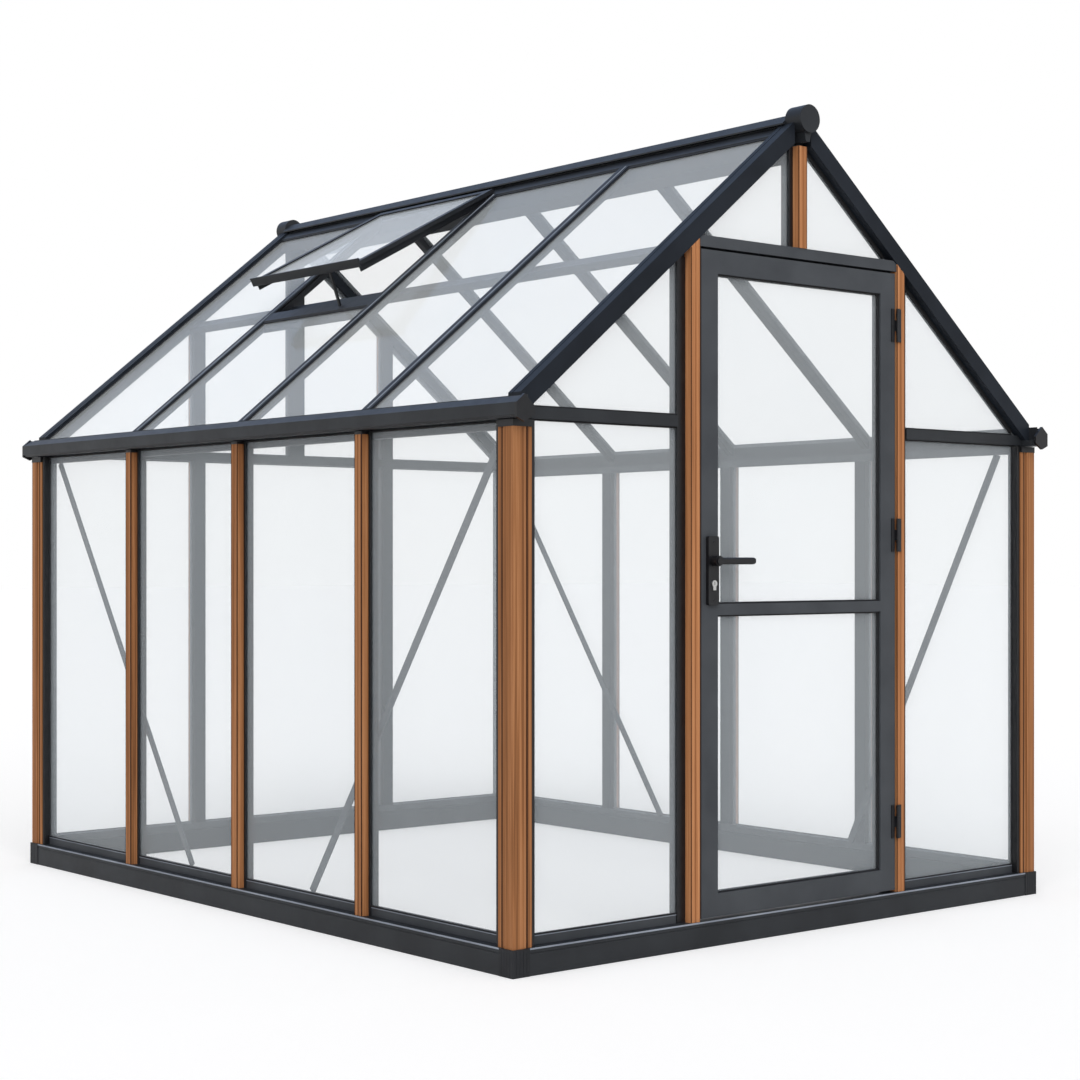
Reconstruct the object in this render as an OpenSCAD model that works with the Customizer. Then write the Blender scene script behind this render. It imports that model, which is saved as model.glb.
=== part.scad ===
// Glass greenhouse: a dark aluminium frame on a raised base, timber strips over the posts,
// a hinged door in the front gable and one roof vent propped open.
// The origin is on the ground under the middle of the base, the door faces -Y and +Z is up.

/* [Building] */
// Width over the base
base_w = 1920; // [1860:10:2060]
// Length over the base
base_l = 2400; // [2200:10:2800]
// Height of the base
base_h = 64; // [50:1:80]
// Depth of the base from its outer face inwards
base_d = 62; // [60:1:90]
// Length of a base corner block along each wall
block_leg = 51; // [46:1:60]
// Height of the underside of the gutters
eave_h = 1272; // [1255:1:1320]
// Height of the line where the outer roof planes meet
apex_h = 2092; // [2080:1:2140]
// Height of the roof plane over the gutter's underside, measured at the base's face
eave_rise = 38; // [36:1:44]
// Number of bays along each side wall
bays = 4; // [4:1:6]

/* [Wall frame] */
// Setback of the timber strips from the base's face
strip_set = 5; // [3:1:8]
// Thickness of the timber strips
strip_t = 25; // [20:1:30]
// Thickness of the frame's outer flange
flange_t = 3; // [2:0.5:4]
// Thickness of the frame behind the glass
inner_t = 16; // [14:1:24]
// Width of a stud's outer flange
stud_w = 46; // [44:2:76]
// Width of the web between a stud's two glass slots
stud_web = 30; // [26:2:46]
// Width of a stud behind the glass
stud_body = 42; // [38:2:60]
// Height of the bottom and top wall rails
rail_h = 22; // [20:1:30]
// Distance from the base's face to the middle of the corner bays' end
corner_line = 35; // [30:1:40]
// Height of the gable rails at the eaves
gable_rail_h = 28; // [26:1:36]
// How far the gable rails stand out from the studs
gable_rail_out = 8; // [4:1:12]

/* [Glass] */
// Thickness of the panes
glass_t = 4; // [3:0.5:6]
// Clearance at each face of a pane
glass_play = 0.25; // [0.2:0.05:0.4]
// Depth of the glass slots
slot_d = 10; // [8:0.5:11]
// Clearance at each edge of a pane
edge_play = 2; // [1.5:0.5:3]

/* [Timber strips] */
// Width of a side wall strip
side_strip_w = 30; // [26:1:40]
// Width of a gable post strip
gable_strip_w = 30; // [26:1:54]
// Width of the king post strip
king_strip_w = 30; // [26:1:54]
// Width of the decorative grooves
groove_w = 3; // [2:0.5:4]
// Depth of the decorative grooves
groove_d = 3; // [2:0.5:5]
// Length of each leg of a corner strip
corner_leg = 58; // [52:1:66]
// Width of a corner strip's raised square edge
corner_edge = 32; // [28:1:36]
// Step between the raised edge and the legs
corner_step = 3; // [1:0.5:5]
// Gap between the top of the side strips and the gutter
strip_gap = 10; // [6:1:16]
// Depth of the corner caps below the top of the side strips
cap_t = 8; // [5:1:12]

/* [Roof] */
// Thickness of the gable rafters and the ridge's flanges, square to the roof
bar_t = 44; // [38:1:50]
// Depth of the bar caps below the gable rafters' top
cap_drop = 6; // [4:1:8]
// Thickness of the bar caps
bar_cap_t = 5; // [3:0.5:6]
// Width of a roof bar's cap
bar_w = 36; // [32:1:44]
// Width of a roof bar below the glass
bar_body_w = 26; // [22:1:32]
// Depth of the roof bars below the gable rafters' top, square to the roof
bar_d = 34; // [28:1:42]
// Width of a gable rafter
rafter_w = 46; // [44:1:54]
// Half width of the ridge beam
ridge_half = 30; // [26:1:36]
// Height of the ridge beam over the roof planes' meeting line, negative when below it
ridge_top = -4; // [-10:1:4]
// Height of the ridge beam
ridge_h = 78; // [72:1:90]
// Width of the ridge's glazing flanges from the middle
ridge_flange = 62; // [56:1:74]
// Half width of the ridge's cap
ridge_cap_half = 44; // [40:1:50]
// Height of the ridge's cap
ridge_cap_h = 26; // [22:1:30]
// Radius of the ridge end discs
ridge_disc_r = 36; // [32:1:42]
// Thickness of the ridge end discs
ridge_disc_t = 54; // [44:1:60]
// How far the ridge end discs stand out past the base
ridge_disc_out = 20; // [12:1:26]
// Distance of the purlin from the middle of the roof
purlin_x = 405; // [380:5:420]
// Width of the purlin along the slope
purlin_w = 34; // [26:1:44]
// Thickness of the purlin
purlin_t = 16; // [12:1:24]
// Clearance where a piece is scribed to the slope of the roof
scribe_play = 0.2; // [0.1:0.05:0.4]

/* [Gutter] */
// How far the gutter stands out from the base's face
gutter_out = 12; // [8:1:20]
// Distance from the base's face to the roof bars' lower ends
bar_end = 28; // [26:1:32]
// How far the gutters run past the base's ends
gutter_past = 21; // [10:1:30]
// Height of the gutter's outer face
gutter_face = 34; // [28:1:40]
// Thickness of the gutter's walls
gutter_wall = 3; // [2:0.5:4]
// Thickness of the gutter end caps
gutter_cap_t = 8; // [5:1:10]

/* [Vent] */
// Angle that the vent is propped open
vent_open = 11; // [8:1:20]
// Width of the vent's frame bars
vent_bar_w = 20; // [18:1:36]
// Thickness of the vent's frame
vent_t = 12; // [11:1:22]
// How far the vent laps over the roof bars
vent_lap = 10; // [6:1:14]
// Radius of the rolled edge that the vent is hung on
vent_roll = 6; // [5:0.5:7]
// Distance of the vent's sill from the middle of the roof
sill_x = 485; // [470:5:520]
// Width of the vent's sill on plan
sill_w = 34; // [30:1:44]
// How far the closed vent laps over its sill
sill_lap = 8; // [6:1:14]
// Width of the vent's stay
stay_w = 8; // [6:1:14]
// Thickness of the vent's stay
stay_t = 5; // [4:1:8]

/* [Door] */
// Clear width between the door jambs
doorway_w = 730; // [690:5:750]
// Drop from the rafters' underside at the jambs to the top of the door leaf
door_head_drop = 26; // [22:1:60]
// Gap round the door leaf
door_gap = 6.5; // [6.5:0.5:8]
// Setback of the door's face from the base's face
door_set = 8; // [8:0.5:12]
// Thickness of the door leaf
door_t = 30; // [26:1:32]
// Width of the door's stiles and end rails
stile_w = 57; // [52:1:64]
// Distance of the middle of the door's cross rail below the spindle
cross_drop = 120; // [110:1:200]
// Height of the door's cross rail
cross_t = 28; // [26:1:36]
// Width of a door jamb
jamb_w = 58; // [52:1:64]
// How far the stops reach past the jambs
stop_w = 15; // [12:1:18]
// Height of the lintel
lintel_h = 28; // [26:1:30]

/* [Door hardware] */
// Height of a hinge
hinge_h = 88; // [70:1:110]
// Radius of a hinge barrel
barrel_r = 5; // [4.5:0.1:5.2]
// Radius of a hinge pin
pin_r = 2.5; // [2:0.1:3]
// Running clearance of the hinge pins and the lever's spindle
pin_play = 0.3; // [0.2:0.05:0.4]
// Width of a hinge leaf
leaf_w = 10; // [8:1:24]
// Thickness of a hinge leaf
leaf_t = 3; // [2:0.5:3]
// Height of the lowest hinge over the leaf's bottom
hinge_low_rise = 182; // [150:1:220]
// Height of the middle hinge over the leaf's bottom
hinge_mid_rise = 945; // [850:1:1000]
// Distance of the top hinge below the leaf's top
hinge_top_drop = 138; // [110:1:200]
// Height of the handle's spindle
handle_h = 947; // [900:1:1000]
// Height of a handle plate
plate_h = 170; // [140:2:200]
// Width of a handle plate
plate_w = 36; // [30:1:40]
// Thickness of a handle plate
plate_t = 10; // [6:1:12]
// Length of a lever from the spindle
lever_len = 122; // [90:1:130]
// Height of a lever
lever_w = 17.5; // [14:0.5:20]
// Thickness of a lever
lever_t = 9; // [7:1:11]
// Radius of a lever's boss
boss_r = 13; // [11:0.5:15]
// Gap between a lever and its plate
lever_gap = 16; // [12:1:17]
// Radius of the lever's spindle
spindle_r = 7; // [5:0.5:8]

/* [Bracing] */
// Width of a brace
brace_w = 22; // [18:1:30]
// Thickness of a brace
brace_t = 4; // [3:0.5:6]
// Distance of the braces' upper ends from the end of the base
brace_head = 95; // [90:1:140]
// Distance of the long braces' feet from the middle of the wall
brace_foot = 303; // [250:1:350]
// Distance of the short brace's foot from the middle of the wall
short_brace_foot = 545; // [500:1:600]

/* [Hidden] */
$fn = 48;

metal = [0.24, 0.25, 0.27];
hardware = [0.08, 0.08, 0.09];
timber = [0.63, 0.42, 0.27];
glazing = [0.85, 0.93, 0.98, 0.35];
silver = [0.75, 0.75, 0.74];

half_w = base_w / 2;
half_l = base_l / 2;
over = 1;

// Depths from the base's face inwards, through a wall
frame_out = strip_set + strip_t;
slot_out = frame_out + flange_t;
slot_t = glass_t + 2 * glass_play;
slot_in = slot_out + slot_t;
frame_in = slot_in + inner_t;
pane_out = slot_out + glass_play;
bite = slot_d - edge_play;

// Heights through a wall
rail_low = base_h + rail_h;
rail_high = eave_h - rail_h;
strip_top = eave_h - strip_gap;
gable_rail_gap = 2;
gable_rail_z = eave_h + gable_rail_gap;

// Side wall bays
stud_pitch = (base_l - 2 * corner_line) / bays;
stud_lines = [for (i = [1 : bays - 1]) i * stud_pitch - half_l + corner_line];
vent_bay = bays - 2;

// Roof slope
roof_tan = (apex_h - eave_h - eave_rise) / half_w;
pitch = atan(roof_tan);
slope_slot_high = -cap_drop - bar_cap_t;
slope_slot_low = slope_slot_high - slot_t;
rafter_out = half_l - strip_set;
rafter_in = rafter_out - rafter_w;
bar_low_x = half_w - bar_end;
ridge_z = apex_h + ridge_top;
ridge_low = ridge_z - ridge_h;
ridge_end = half_l + ridge_disc_out - ridge_disc_t;
disc_drop = 14;
disc_z = ridge_z - disc_drop;
function roof_z(x, n) = apex_h + n / cos(pitch) - roof_tan * x;

// Gable posts
jamb_x = doorway_w / 2;
jamb_out = jamb_x + jamb_w;
gable_post_x = jamb_x + gable_strip_w / 2;
king_half = ridge_half;
wall_end_x = half_w - frame_in;
gutter_in_x = wall_end_x + slot_d;

// Door leaf
leaf_x = jamb_x - door_gap;
leaf_low = base_h + door_gap;
door_top = roof_z(jamb_x, -bar_t) - door_head_drop;
cross_h = handle_h - cross_drop;
door_in = door_set + door_t;
stop_in = door_in + door_gap;
lintel_low = door_top + door_gap;
lintel_top = lintel_low + lintel_h;
stile_in = leaf_x - stile_w;
door_pane_out = door_set + (door_t - glass_t) / 2;
hinge_in = 2.5;
hinge_x = jamb_x - hinge_in;
hinge_z = [leaf_low + hinge_low_rise, leaf_low + hinge_mid_rise, door_top - hinge_top_drop];
spindle_in = 5;
spindle_x = -leaf_x + stile_w / 2 + spindle_in;

// A wall's own frame: x along the wall, y from the base's face inwards
module on_front() { translate([0, -half_l, 0]) children(); }
module on_back() { mirror([0, 1, 0]) on_front() children(); }
module on_left() { rotate([0, 0, -90]) translate([0, -half_w, 0]) children(); }
module on_right() { mirror([1, 0, 0]) on_left() children(); }
module both_sides() { children(); mirror([1, 0, 0]) children(); }
module both_ends() { children(); mirror([0, 1, 0]) children(); }

// A block between two corners
module block(low, high) { translate(low) cube(high - low); }

// A plan outline raised between two heights
module raised(z0, z1) { translate([0, 0, z0]) linear_extrude(z1 - z0) children(); }

// An upright outline in x and z, extruded between two depths
module upright(y0, y1) { translate([0, y1, 0]) rotate([90, 0, 0]) linear_extrude(y1 - y0) children(); }

// A slab of the right roof slope between two vertical cuts and two depths square to the roof
module slope_slab(x0, x1, n0, n1, y0, y1) {
    upright(y0, y1)
        polygon([[x0, roof_z(x0, n0)], [x1, roof_z(x1, n0)], [x1, roof_z(x1, n1)], [x0, roof_z(x0, n1)]]);
}

// The gable's outline below a depth square to the roof
module below_roof(n) {
    side_z = roof_z(half_w, n);
    polygon([[-half_w, 0], [half_w, 0], [half_w, side_z], [0, roof_z(0, n)], [-half_w, side_z]]);
}

// A stud's plan: the outer flange, the web between its two glass slots and the body inside
module stud_plan(w, web, body) {
    stud_front(w, web);
    translate([-body / 2, slot_in]) square([body, inner_t]);
}

// The part of a stud's plan in front of its body
module stud_front(w, web) {
    translate([-w / 2, frame_out]) square([w, flange_t]);
    translate([-web / 2, frame_out]) square([web, slot_in - frame_out]);
}

// A timber strip's plan with chamfered edges and a groove down its middle
module strip_plan(w) {
    chamfer = 2;
    difference() {
        polygon([[-w / 2, frame_out], [-w / 2, strip_set + chamfer], [-w / 2 + chamfer, strip_set],
            [w / 2 - chamfer, strip_set], [w / 2, strip_set + chamfer], [w / 2, frame_out]]);
        translate([-groove_w / 2, strip_set - over]) square([groove_w, groove_d + over]);
    }
}

// A bottom rail along a wall with a glass slot in its upper side
module wall_rail(x0, x1) {
    difference() {
        block([x0, frame_out, base_h], [x1, frame_in, rail_low]);
        block([x0 - over, slot_out, rail_low - slot_d], [x1 + over, slot_in, rail_low + over]);
    }
}

// A pane in a wall
module pane(x0, x1, z0, z1) { block([x0, pane_out, z0], [x1, pane_out + glass_t, z1]); }

// Base
module base_sills() {
    color(metal) {
        on_front() sill(half_w - block_leg);
        on_back() sill(half_w - block_leg);
        on_left() side_sill();
        on_right() side_sill();
    }
}

// A side wall's sill, notched round the inner ends of the gable sills
module side_sill() {
    notch = half_l - base_d;
    difference() {
        sill(half_l - block_leg);
        for (u = [notch, -half_l]) translate([u, 0, 0])
            block([0, block_leg - scribe_play, -over], [base_d, base_d, base_h + over]);
    }
}

// One sill with a drip groove along its outer face
module sill(half) {
    inset = 1.5;
    drip_d = 1.5;
    drip_h = 2;
    drip_drop = 13;
    difference() {
        block([-half, inset, 0], [half, base_d - inset, base_h]);
        block([-half - over, inset - over, base_h - drip_drop],
            [half + over, inset + drip_d, base_h - drip_drop + drip_h]);
    }
}

// Corner blocks with a chamfered edge and ribs down both outer faces
module base_corner_blocks() {
    chamfer = 2;
    ribs = 4;
    rib_gap = 1.2;
    rib_d = 0.5;
    rib_pitch = block_leg / (ribs + 1);
    color(metal) at_corners() raised(0, base_h) difference() {
        polygon([[chamfer, 0], [block_leg, 0], [block_leg, block_leg], [0, block_leg], [0, chamfer]]);
        for (i = [1 : ribs]) {
            translate([i * rib_pitch, -over]) square([rib_gap, rib_d + over]);
            translate([-over, i * rib_pitch]) square([rib_d + over, rib_gap]);
        }
    }
}

// Corner posts
// A corner's own frame: x and y from the base's faces inwards
module at_corners() {
    both_sides() both_ends() translate([half_w, half_l, 0]) rotate([0, 0, 180]) children();
}

module corner_posts() {
    color(metal) at_corners() raised(base_h, eave_h) difference() {
        translate([frame_out, frame_out]) square(frame_in - frame_out);
        translate([slot_out, frame_in - slot_d]) square([slot_t, slot_d + over]);
        translate([frame_in - slot_d, slot_out]) square([slot_d + over, slot_t]);
    }
}

module corner_strips() {
    leg_end = strip_set + corner_leg;
    edge_end = strip_set + corner_edge;
    leg_out = strip_set + corner_step;
    color(timber) at_corners() raised(base_h, strip_top - cap_t) difference() {
        union() {
            translate([strip_set, strip_set]) square(corner_edge);
            translate([leg_out, leg_out]) square([leg_end - leg_out, frame_out - leg_out]);
            translate([leg_out, leg_out]) square([frame_out - leg_out, leg_end - leg_out]);
        }
        translate([frame_out, frame_out]) square(corner_leg);
        translate([edge_end, leg_out - over]) square([groove_w, groove_d + over]);
        translate([leg_out - over, edge_end]) square([groove_d + over, groove_w]);
    }
}

module corner_caps() {
    cap_over = 1;
    cap_top = eave_h - gable_rail_gap;
    color(hardware) at_corners() raised(strip_top - cap_t, cap_top) difference() {
        translate([strip_set - cap_over, strip_set - cap_over]) square(corner_leg + cap_over);
        translate([frame_out, frame_out]) square(corner_leg);
    }
}

// Side walls: the panes stand in the bottom rail and pass in front of the top rail, up to the gutter
module side_rails() {
    wall_rail(-half_l + frame_in, half_l - frame_in);
    block([-half_l + frame_in, slot_in, rail_high], [half_l - frame_in, frame_in, eave_h]);
}

module side_studs() {
    for (u = stud_lines) translate([u, 0]) {
        raised(rail_low, rail_high) stud_plan(stud_w, stud_web, stud_body);
        raised(rail_high, eave_h) stud_front(stud_w, stud_web);
    }
}

module side_strips() {
    for (u = stud_lines) translate([u, 0]) raised(base_h, strip_top) strip_plan(side_strip_w);
}

module side_glass() {
    stud_edge = stud_web / 2 + edge_play;
    wall_end = half_l - frame_in + bite;
    for (i = [0 : bays - 1])
        pane(i == 0 ? -wall_end : stud_lines[i - 1] + stud_edge,
            i == bays - 1 ? wall_end : stud_lines[i] - stud_edge, rail_low - bite, eave_h - edge_play);
}

module side_wall_rails() { color(metal) both_sides() on_left() side_rails(); }
module side_wall_studs() { color(metal) both_sides() on_left() side_studs(); }
module side_wall_strips() { color(timber) both_sides() on_left() side_strips(); }
module left_wall_glass() { color(glazing) on_left() side_glass(); }
module right_wall_glass() { color(glazing) on_right() side_glass(); }

// A flat brace against the inside of a side wall, from its head at one end to its foot
module brace(head_u, foot_u) {
    head_z = eave_h - rail_h;
    foot_z = base_h + rail_h;
    run = foot_u - head_u;
    drop = head_z - foot_z;
    translate([head_u, frame_in, head_z]) rotate([0, atan2(drop, run), 0])
        translate([0, 0, -brace_w / 2]) cube([norm([run, drop]), brace_t, brace_w]);
}

module wall_braces() {
    head = half_l - brace_head;
    color(metal) {
        on_left() brace(head, brace_foot);
        on_left() brace(-head, -brace_foot);
        on_right() brace(head, short_brace_foot);
        on_right() brace(-head, -brace_foot);
    }
}

// Gables
module gable_rail(x0, x1) {
    z1 = gable_rail_z + gable_rail_h;
    difference() {
        intersection() {
            block([x0, frame_out - gable_rail_out, gable_rail_z], [x1, frame_in, z1]);
            upright(0, frame_in) below_roof(-bar_t - scribe_play);
        }
        block([x0 - over, slot_out, z1 - slot_d], [x1 + over, slot_in, z1 + over]);
        block([x0 - over, slot_out, gable_rail_z - over], [x1 + over, slot_in, gable_rail_z + slot_d]);
    }
}

// A king post from a given height to the ridge
module king_post(z0) {
    raised(z0, ridge_low) stud_plan(2 * king_half, 2 * (king_half - slot_d), 2 * king_half);
}

// The strip over a king post
module king_strip(z0) { raised(z0, ridge_low - groove_w) strip_plan(king_strip_w); }

module gable_post_strip() {
    intersection() {
        translate([gable_post_x, 0]) raised(base_h, apex_h) strip_plan(gable_strip_w);
        upright(0, frame_in) below_roof(-bar_t - scribe_play);
    }
}

// A pane under a rafter, between two places across the gable and over a height
module raked_pane(x0, x1, z0) {
    intersection() {
        pane(x0, x1, z0, ridge_low - edge_play);
        upright(0, frame_in) below_roof(-bar_t + bite);
    }
}

module gable_bottom_rails() {
    color(metal) {
        on_front() both_sides() wall_rail(jamb_out, wall_end_x);
        on_back() wall_rail(-wall_end_x, wall_end_x);
    }
}

module front_gable_rails() { color(metal) on_front() both_sides() gable_rail(jamb_out, gutter_in_x); }

module door_jambs() {
    color(metal) on_front() both_sides() intersection() {
        union() {
            raised(base_h, apex_h) difference() {
                translate([jamb_x, frame_out]) square([jamb_w, frame_in - frame_out]);
                translate([jamb_out - slot_d, slot_out]) square([slot_d + over, slot_t]);
            }
            block([jamb_x - stop_w, stop_in, base_h], [jamb_x, frame_in, lintel_low - stop_w]);
        }
        upright(0, frame_in) below_roof(-bar_t - scribe_play);
    }
}

module door_lintel() {
    color(metal) on_front() intersection() {
        difference() {
            union() {
                block([-jamb_x, door_set, lintel_low], [jamb_x, frame_in, lintel_top]);
                block([-jamb_x, stop_in, lintel_low - stop_w], [jamb_x, frame_in, lintel_low]);
            }
            block([-jamb_x - over, slot_out, lintel_top - slot_d],
                [jamb_x + over, slot_in, lintel_top + over]);
        }
        upright(0, frame_in) below_roof(-bar_t - scribe_play);
    }
}

module king_posts() {
    color(metal) {
        on_front() king_post(lintel_top);
        on_back() king_post(gable_rail_z + gable_rail_h);
    }
}

module front_strips() {
    color(timber) on_front() {
        both_sides() gable_post_strip();
        king_strip(lintel_top);
    }
}

module front_glass() {
    rail_top = gable_rail_z + gable_rail_h;
    color(glazing) on_front() both_sides() {
        pane(jamb_out - bite, wall_end_x + bite, rail_low - bite, gable_rail_z + bite);
        raked_pane(jamb_out - bite, wall_end_x - edge_play, rail_top - bite);
        raked_pane(king_half - bite, jamb_x - 2 * slot_d, lintel_top - bite);
    }
}

// The back rails stop at the posts' strips, and their inner parts reach on to the posts' bodies
module back_gable_rails() {
    post_half = max(stud_w, gable_strip_w) / 2;
    color(metal) on_back() {
        gable_rail(-gable_post_x + post_half, gable_post_x - post_half);
        both_sides() {
            gable_rail(gable_post_x + post_half, gutter_in_x);
            for (x = [-post_half, stud_body / 2]) translate([gable_post_x + x, 0, gable_rail_z])
                block([0, slot_in, 0], [post_half - stud_body / 2, frame_in, gable_rail_h]);
        }
    }
}

module back_studs() {
    color(metal) on_back() both_sides() intersection() {
        translate([gable_post_x, 0]) raised(rail_low, apex_h) stud_plan(stud_w, stud_web, stud_body);
        upright(0, frame_in) below_roof(-bar_t - scribe_play);
    }
}

module back_strips() {
    color(timber) on_back() {
        both_sides() gable_post_strip();
        king_strip(gable_rail_z + gable_rail_h);
    }
}

module back_glass() {
    rail_top = gable_rail_z + gable_rail_h;
    stud_edge = stud_web / 2 + edge_play;
    color(glazing) on_back() {
        pane(-gable_post_x + stud_edge, gable_post_x - stud_edge, rail_low - bite, gable_rail_z + bite);
        both_sides() {
            pane(gable_post_x + stud_edge, wall_end_x + bite, rail_low - bite, gable_rail_z + bite);
            raked_pane(gable_post_x + stud_edge, wall_end_x - edge_play, rail_top - bite);
            raked_pane(king_half - bite, gable_post_x - stud_edge, rail_top - bite);
        }
    }
}

// Roof
// Rafters with a groove along the top, cut round the ridge's cap and the disc on its end
module gable_rafters() {
    groove_y = rafter_in + rafter_w / 3;
    cap_low = ridge_z - ridge_cap_h - scribe_play;
    color(metal) both_sides() both_ends() difference() {
        slope_slab(ridge_half, bar_low_x, -bar_t, 0, rafter_in, rafter_out);
        slope_slab(0, half_w, -groove_d, over, groove_y, groove_y + groove_w);
        block([0, rafter_in - over, cap_low], [ridge_cap_half + scribe_play, ridge_end + over, apex_h]);
        translate([0, ridge_end, disc_z]) rotate([-90, 0, 0])
            cylinder(r = ridge_disc_r + scribe_play, h = ridge_disc_t);
        slope_slab(0, half_w, -bar_t - over, -bar_t + slot_d, half_l - slot_in, half_l - slot_out);
        slope_slab(0, half_w, slope_slot_low, slope_slot_high, rafter_in - over, rafter_in + slot_d);
    }
}

// The ridge: an upright with a sloping cap over it and glazing flanges on both sides
module ridge_beam() {
    crown = 20;
    lip = 4;
    cap_low = ridge_z - ridge_cap_h;
    color(metal) {
        upright(-ridge_end, ridge_end)
            polygon([[-ridge_half, ridge_low], [ridge_half, ridge_low], [ridge_half, cap_low],
                [ridge_cap_half, cap_low], [ridge_cap_half, cap_low + lip], [crown, ridge_z],
                [-crown, ridge_z], [-ridge_cap_half, cap_low + lip], [-ridge_cap_half, cap_low],
                [-ridge_half, cap_low]]);
        both_sides() {
            slope_slab(ridge_half, ridge_flange, slope_slot_high, -cap_drop, -rafter_in, rafter_in);
            slope_slab(ridge_half, ridge_flange, -bar_t, slope_slot_low, -rafter_in, rafter_in);
        }
    }
}

// Round ends for the ridge, each with a tapered tail below
module ridge_end_caps() {
    tail_low = ridge_low + 6;
    tail_top = disc_z - ridge_disc_r / 2;
    tail_foot = 7;
    tail_head = 16;
    tail_set = 8;
    color(metal) both_ends() {
        translate([0, ridge_end, disc_z]) rotate([-90, 0, 0]) cylinder(r = ridge_disc_r, h = ridge_disc_t);
        upright(ridge_end, ridge_end + ridge_disc_t - tail_set)
            polygon([[-tail_foot, tail_low], [tail_foot, tail_low],
                [tail_head, tail_top], [-tail_head, tail_top]]);
    }
}

// The gutter's section: the ledge under the roof bars, the channel and the sloping outer lip
gutter_x = half_w + gutter_out;
gutter_edge = 6;
lip_z = eave_h + gutter_face;
lip_in = 24;
lip_rise = 16;
module gutter_plan() {
    inner = gutter_in_x;
    lip_x = gutter_x - lip_in;
    floor_t = 12;
    floor_z = eave_h + floor_t;
    riser_top = roof_z(bar_low_x, -cap_drop);
    polygon([[inner, eave_h], [gutter_x - gutter_edge, eave_h], [gutter_x, eave_h + gutter_edge],
        [gutter_x, lip_z], [lip_x, lip_z + lip_rise], [lip_x, floor_z],
        [bar_low_x + gutter_wall, floor_z], [bar_low_x + gutter_wall, riser_top], [bar_low_x, riser_top],
        [bar_low_x, roof_z(bar_low_x, -bar_t)], [inner, roof_z(inner, -bar_t)]]);
}

gutter_end = half_l + gutter_past;
module gutter() { upright(-gutter_end, gutter_end) gutter_plan(); }

module left_gutter() { color(metal) mirror([1, 0, 0]) gutter(); }
module right_gutter() { color(metal) gutter(); }

// End caps that close the channel, with a peak over it and a keel under it
module gutter_end_caps() {
    back = gutter_x - 54;
    shoulder = 8;
    keel = 10;
    peak_x = gutter_x - lip_in;
    peak_z = lip_z + lip_rise + 4;
    color(hardware) both_sides() both_ends() upright(gutter_end, gutter_end + gutter_cap_t)
        polygon([[back, eave_h + shoulder], [peak_x, eave_h - keel], [gutter_x, eave_h], [gutter_x, lip_z],
            [peak_x, peak_z], [back, lip_z - shoulder]]);
}

// A roof bar: a grooved cap over the glass, a web between the panes and a narrower body below
module roof_bar(y) {
    web = bar_w - 2 * slot_d;
    difference() {
        slope_slab(ridge_flange, bar_low_x, slope_slot_high, -cap_drop, y - bar_w / 2, y + bar_w / 2);
        slope_slab(0, half_w, -cap_drop - groove_d / 2, over, y - groove_w / 2, y + groove_w / 2);
    }
    slope_slab(ridge_flange, bar_low_x, slope_slot_low, slope_slot_high, y - web / 2, y + web / 2);
    slope_slab(ridge_flange, bar_low_x, -bar_d, slope_slot_low, y - bar_body_w / 2, y + bar_body_w / 2);
}

module roof_bars() { color(metal) both_sides() for (y = stud_lines) roof_bar(y); }

// A roof pane in a bay, between two places down the slope
module roof_pane(bay, x0, x1) {
    web_edge = bar_w / 2 - bite;
    y0 = bay == 0 ? -rafter_in - bite : stud_lines[bay - 1] + web_edge;
    y1 = bay == bays - 1 ? rafter_in + bite : stud_lines[bay] - web_edge;
    slope_slab(x0, x1, slope_slot_low + glass_play, slope_slot_high - glass_play, y0, y1);
}

pane_cover = 15;
pane_top_x = ridge_flange - pane_cover;
pane_low_x = bar_low_x - edge_play / 2;
sill_top_x = sill_x - sill_w / 2;
sill_low_x = sill_x + sill_w / 2;

module left_roof_glass() {
    color(glazing) mirror([1, 0, 0]) for (bay = [0 : bays - 1])
        roof_pane(bay, bay == vent_bay ? sill_low_x - bite : pane_top_x, pane_low_x);
}

module right_roof_glass() {
    color(glazing) for (bay = [0 : bays - 1]) roof_pane(bay, pane_top_x, pane_low_x);
}

module left_roof_purlin() {
    half = purlin_w * cos(pitch) / 2;
    purlin_n = -bar_d - scribe_play;
    purlin_end = min(rafter_in, half_l - frame_in - scribe_play);
    color(metal) mirror([1, 0, 0])
        slope_slab(purlin_x - half, purlin_x + half, purlin_n - purlin_t, purlin_n, -purlin_end, purlin_end);
}

// Roof vent, hinged under the ridge's lip and propped open
vent_y0 = stud_lines[vent_bay - 1] + bar_w / 2;
vent_y1 = stud_lines[vent_bay] - bar_w / 2;

module vent_sill() {
    color(metal) mirror([1, 0, 0]) difference() {
        slope_slab(sill_top_x, sill_low_x, -bar_d, -cap_drop, vent_y0, vent_y1);
        slope_slab(sill_low_x - slot_d, sill_low_x + over,
            slope_slot_low, slope_slot_high, vent_y0 - over, vent_y1 + over);
    }
}

// The vent's own frame: x down the slope from its hinge, z square to the vent
vent_hinge_in = 6;
vent_hinge_x = ridge_flange - vent_hinge_in;
vent_len = (sill_top_x + sill_lap - vent_hinge_x) / cos(pitch);
vent_out0 = vent_y0 - vent_lap;
vent_out1 = vent_y1 + vent_lap;
module on_vent() {
    hinge_z0 = roof_z(vent_hinge_x, -cap_drop + vent_roll + pin_play);
    mirror([1, 0, 0]) translate([vent_hinge_x, 0, hinge_z0]) rotate([0, pitch - vent_open, 0]) children();
}

// A block inside the vent's outline, set in from all four edges
module vent_inset(inset, z0, z1) {
    block([inset, vent_out0 + inset, z0], [vent_len - inset, vent_out1 - inset, z1]);
}

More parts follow.
